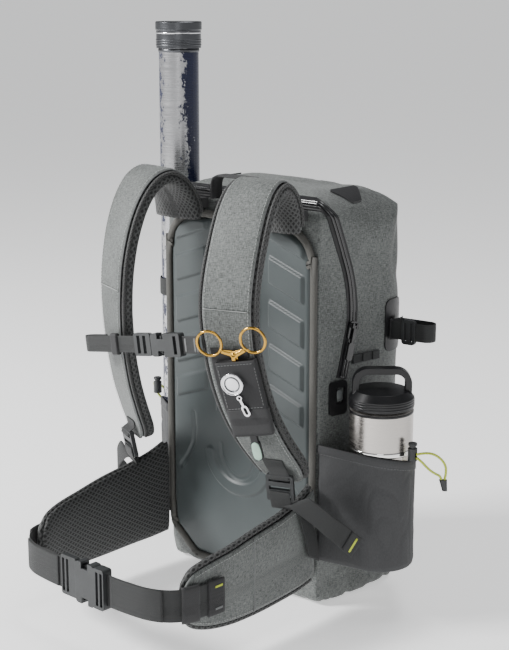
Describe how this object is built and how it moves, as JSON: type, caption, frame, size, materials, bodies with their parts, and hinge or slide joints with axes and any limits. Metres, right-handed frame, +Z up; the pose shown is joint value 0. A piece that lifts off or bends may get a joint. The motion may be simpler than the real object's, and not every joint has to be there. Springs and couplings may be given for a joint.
{
  "type": "tackle backpack",
  "caption": "Waterproof tackle backpack with padded harness, hip belt, side pockets, carried rod tube and bottle, and angler's tools on the strap.",
  "frame": {"origin": "centre of the bag's flat base, on the surface that it stands on", "axes": "+Z up, -Y towards the wearer's back, +X towards the bottle's pocket"},
  "size_m": [0.475, 0.4315, 0.69],
  "materials": {
    "coated_fabric": "TPU-coated heathered mid-grey fabric",
    "spacer_mesh": "black diamond spacer mesh",
    "stretch_fabric": "charcoal stretch fabric",
    "eva_panel": "slate blue-grey moulded EVA foam",
    "border_tape": "grey-brown woven binding tape",
    "lining_fabric": "dark lining fabric",
    "frame_plastic": "HDPE sheet",
    "webbing": "dark grey woven webbing",
    "buckle_plastic": "dark grey acetal",
    "zipper_gloss": "glossy black coated zipper",
    "welded_tpu": "black welded TPU film",
    "dock_fabric": "black ballistic fabric and elastic",
    "lime_cord": "lime-green elastic cord",
    "gold_metal": "gold-plated steel",
    "chrome_metal": "polished chrome",
    "nipper_steel": "mint enamel over black steel",
    "bottle_steel": "brushed stainless steel",
    "bottle_plastic": "black polypropylene",
    "tube_metal": "satin silver aluminium with dark blue splatter",
    "cap_metal": "gunmetal anodised aluminium"
  },
  "bodies": {
    "pack": {"back_panel_foam": "eva_panel", "back_shell": "coated_fabric", "cord_end": "buckle_plastic", "cord_lock_left": "buckle_plastic", "cord_lock_right": "buckle_plastic", "frame_sheet": "frame_plastic", "front_shell": "coated_fabric", "inner_pocket": "lining_fabric", "lash_tapes": "webbing", "panel_border": "border_tape", "pocket_cord_left": "lime_cord", "pocket_cord_lower": "lime_cord", "pocket_cord_upper": "lime_cord", "retractor_case": "chrome_metal", "rod_strap_left": "webbing", "rod_strap_right": "webbing", "side_pocket_left": "stretch_fabric", "side_pocket_right": "stretch_fabric", "sternum_anchor_left": "webbing", "sternum_buckle_female": "buckle_plastic", "sternum_webbing_right": "webbing", "strap_mesh_left": "spacer_mesh", "strap_mesh_right": "spacer_mesh", "strap_shell_left": "coated_fabric", "strap_shell_right": "coated_fabric", "strap_yoke": "lining_fabric", "tool_dock": "dock_fabric", "webbing_tail_left": "webbing", "webbing_tail_right": "webbing", "welded_patches": "welded_tpu", "zipper_track": "zipper_gloss"},
    "zipper_slider": {"zipper_slider": "zipper_gloss"},
    "zipper_pull": {"zipper_pull": "zipper_gloss"},
    "haul_handle": {"haul_handle": "webbing"},
    "ladder_lock_right": {"ladder_lock_right": "buckle_plastic"},
    "ladder_lock_left": {"ladder_lock_left": "buckle_plastic"},
    "sternum_male": {"sternum_buckle_male": "buckle_plastic", "sternum_webbing_left": "webbing"},
    "hip_left": {"hip_pad_left": "spacer_mesh", "hip_shell_left": "coated_fabric", "hip_webbing_left": "webbing", "hip_buckle_male": "buckle_plastic", "lower_webbing_left": "webbing"},
    "hip_right": {"hip_pad_right": "spacer_mesh", "hip_shell_right": "coated_fabric", "hip_webbing_right": "webbing", "hip_buckle_female": "buckle_plastic", "lower_webbing_right": "webbing"},
    "strap_slider_right": {"strap_slider_right": "buckle_plastic"},
    "strap_slider_left": {"strap_slider_left": "buckle_plastic"},
    "lock_plunger_right": {"lock_plunger_right": "buckle_plastic"},
    "lock_plunger_left": {"lock_plunger_left": "buckle_plastic"},
    "forceps": {"forceps_pinned_half": "gold_metal"},
    "forceps_half": {"forceps_moving_half": "gold_metal"},
    "nipper": {"line_nipper": "nipper_steel"},
    "retractor_clip": {"retractor_clip": "chrome_metal"},
    "bottle": {"bottle_body": "bottle_steel"},
    "bottle_lid": {"bottle_lid": "bottle_plastic"},
    "tube": {"rod_tube": "tube_metal"},
    "tube_cap": {"rod_tube_cap": "cap_metal"}
  },
  "joints": [
    {"name": "zipper_slide", "type": "slide", "parent": "pack", "child": "zipper_slider", "axis": [0.0292, 0.2363, 0.9713], "range_m": [-0.01, 0.006]},
    {"name": "zipper_pull_hinge", "type": "hinge", "parent": "zipper_slider", "child": "zipper_pull", "pos_m": [0.13884, -0.0327, 0.34418], "axis": [-0.1191, -0.9639, 0.238], "range_deg": [0, 178]},
    {"name": "haul_handle_hinge", "type": "hinge", "parent": "pack", "child": "haul_handle", "pos_m": [0, -0.086, 0.482], "axis": [1, 0, 0], "range_deg": [0, 60]},
    {"name": "ladder_lock_tilt_right", "type": "hinge", "parent": "pack", "child": "ladder_lock_right", "pos_m": [0.1291, -0.15324, 0.18671], "axis": [-0.9272, -0.3746, 0], "range_deg": [0, 25]},
    {"name": "ladder_lock_tilt_left", "type": "hinge", "parent": "pack", "child": "ladder_lock_left", "pos_m": [-0.1291, -0.15324, 0.18671], "axis": [-0.9272, 0.3746, 0], "range_deg": [0, 25]},
    {"name": "sternum_release", "type": "slide", "parent": "pack", "child": "sternum_male", "axis": [-0.9877, 0, -0.1564], "range_m": [0, 0.028]},
    {"name": "hip_left_swing", "type": "hinge", "parent": "pack", "child": "hip_left", "pos_m": [-0.125, -0.092, 0.1], "axis": [0, 0, -1], "range_deg": [0, 14]},
    {"name": "hip_right_swing", "type": "hinge", "parent": "pack", "child": "hip_right", "pos_m": [0.125, -0.092, 0.1], "axis": [0, 0, 1], "range_deg": [0, 14]},
    {"name": "strap_slider_right_slide", "type": "slide", "parent": "pack", "child": "strap_slider_right", "axis": [-0.991, -0.1342, 0], "range_m": [-0.007, 0.007]},
    {"name": "strap_slider_left_slide", "type": "slide", "parent": "pack", "child": "strap_slider_left", "axis": [0.5894, 0.8079, 0], "range_m": [-0.012, 0.012]},
    {"name": "lock_button_right", "type": "slide", "parent": "pack", "child": "lock_plunger_right", "axis": [0, 0, -1], "range_m": [0, 0.003], "stiffness_N_per_m": 300, "springref_m": -0.002},
    {"name": "lock_button_left", "type": "slide", "parent": "pack", "child": "lock_plunger_left", "axis": [0, 0, -1], "range_m": [0, 0.003], "stiffness_N_per_m": 300, "springref_m": -0.002},
    {"name": "forceps_draw", "type": "slide", "parent": "pack", "child": "forceps", "axis": [-0.0968, -0.23, 0.9684], "range_m": [0, 0.07]},
    {"name": "forceps_pivot", "type": "hinge", "parent": "forceps", "child": "forceps_half", "pos_m": [0.10938, -0.20614, 0.33744], "axis": [-0.3685, 0.9121, 0.1798], "range_deg": [0, 8]},
    {"name": "nipper_draw", "type": "slide", "parent": "pack", "child": "nipper", "axis": [0.0968, 0.23, -0.9684], "range_m": [0, 0.03]},
    {"name": "retractor_pull", "type": "slide", "parent": "pack", "child": "retractor_clip", "axis": [0.0968, 0.23, -0.9684], "range_m": [0, 0.06], "stiffness_N_per_m": 12, "springref_m": -0.04},
    {"name": "bottle_lift", "type": "slide", "parent": "pack", "child": "bottle", "axis": [0, 0, 1], "range_m": [0, 0.2]},
    {"name": "bottle_lid_turn", "type": "hinge", "parent": "bottle", "child": "bottle_lid", "pos_m": [0.18, -0.032, 0.25], "axis": [0, 0, 1], "continuous": true},
    {"name": "tube_lift", "type": "slide", "parent": "pack", "child": "tube", "axis": [0, 0, 1], "range_m": [0, 0.2]},
    {"name": "tube_cap_turn", "type": "hinge", "parent": "tube", "child": "tube_cap", "pos_m": [-0.164, -0.022, 0.67], "axis": [0, 0, 1], "continuous": true}
  ],
  "couplings": [
    {"joint": "hip_right_swing", "follows": "hip_left_swing", "ratio": 1}
  ]
}
